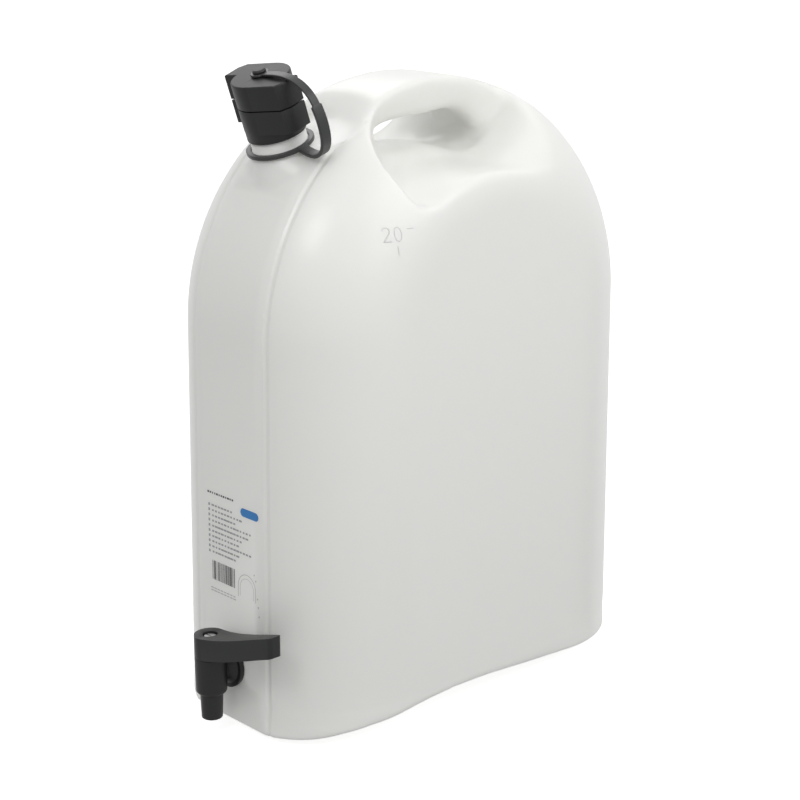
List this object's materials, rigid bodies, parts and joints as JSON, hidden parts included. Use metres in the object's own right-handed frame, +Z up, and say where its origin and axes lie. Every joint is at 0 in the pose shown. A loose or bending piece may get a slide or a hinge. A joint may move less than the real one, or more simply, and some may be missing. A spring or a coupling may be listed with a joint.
{
  "type": "carboy with spigot",
  "caption": "Tall blow-moulded water carrier with a grip moulded through its top, a spout with a wing nut and a tethered cap, and a lever tap low on the front.",
  "frame": {"origin": "middle of the whole length and width, on the plane the feet stand on", "axes": "+Z up, -Y towards the end with the tap and the spout, +X across the width, to the side the closed lever points to"},
  "size_m": [0.189, 0.3667, 0.4618],
  "materials": {
    "translucent_tank": "semi-gloss translucent",
    "dark_plastic": "matte",
    "strap_plastic": "satin",
    "seal_rubber": "matte",
    "screw_steel": "satin"
  },
  "bodies": {
    "tank": {"tank": "translucent_tank", "tap_gasket": "seal_rubber", "tap_body": "dark_plastic"},
    "spout": {"spout_insert": "dark_plastic", "neck_seal": "seal_rubber"},
    "nut": {"spout_nut": "dark_plastic"},
    "strap": {"cap_strap": "strap_plastic"},
    "cap": {"cap": "dark_plastic", "cap_seal": "seal_rubber"},
    "lever": {"tap_lever": "dark_plastic", "tap_plug": "dark_plastic", "plug_ring_lower": "seal_rubber", "plug_ring_upper": "seal_rubber", "lever_screw": "screw_steel"}
  },
  "joints": [
    {"name": "nut_lift", "type": "slide", "parent": "tank", "child": "spout", "axis": [0, -0.3256, 0.9455], "range_m": [0, 0.015], "deforming": ["cap_strap"]},
    {"name": "nut_turn", "type": "hinge", "parent": "spout", "child": "nut", "pos_m": [0, -0.1031, 0.4081], "axis": [0, -0.3256, 0.9455], "range_deg": [0, 900]},
    {"name": "cap_lift", "type": "slide", "parent": "spout", "child": "strap", "axis": [0, -0.3256, 0.9455], "range_m": [0, 0.012], "deforming": ["cap_strap"]},
    {"name": "cap_turn", "type": "hinge", "parent": "strap", "child": "cap", "pos_m": [0, -0.1031, 0.4081], "axis": [0, -0.3256, 0.9455], "range_deg": [0, 1080]},
    {"name": "tap_turn", "type": "hinge", "parent": "tank", "child": "lever", "pos_m": [0, -0.1721, 0.048], "axis": [0, 0, 1], "range_deg": [-90, 0]}
  ],
  "couplings": [
    {"joint": "nut_lift", "follows": "nut_turn", "m_per_rad": 0.00095493},
    {"joint": "cap_lift", "follows": "cap_turn", "m_per_rad": 0.00063662}
  ]
}
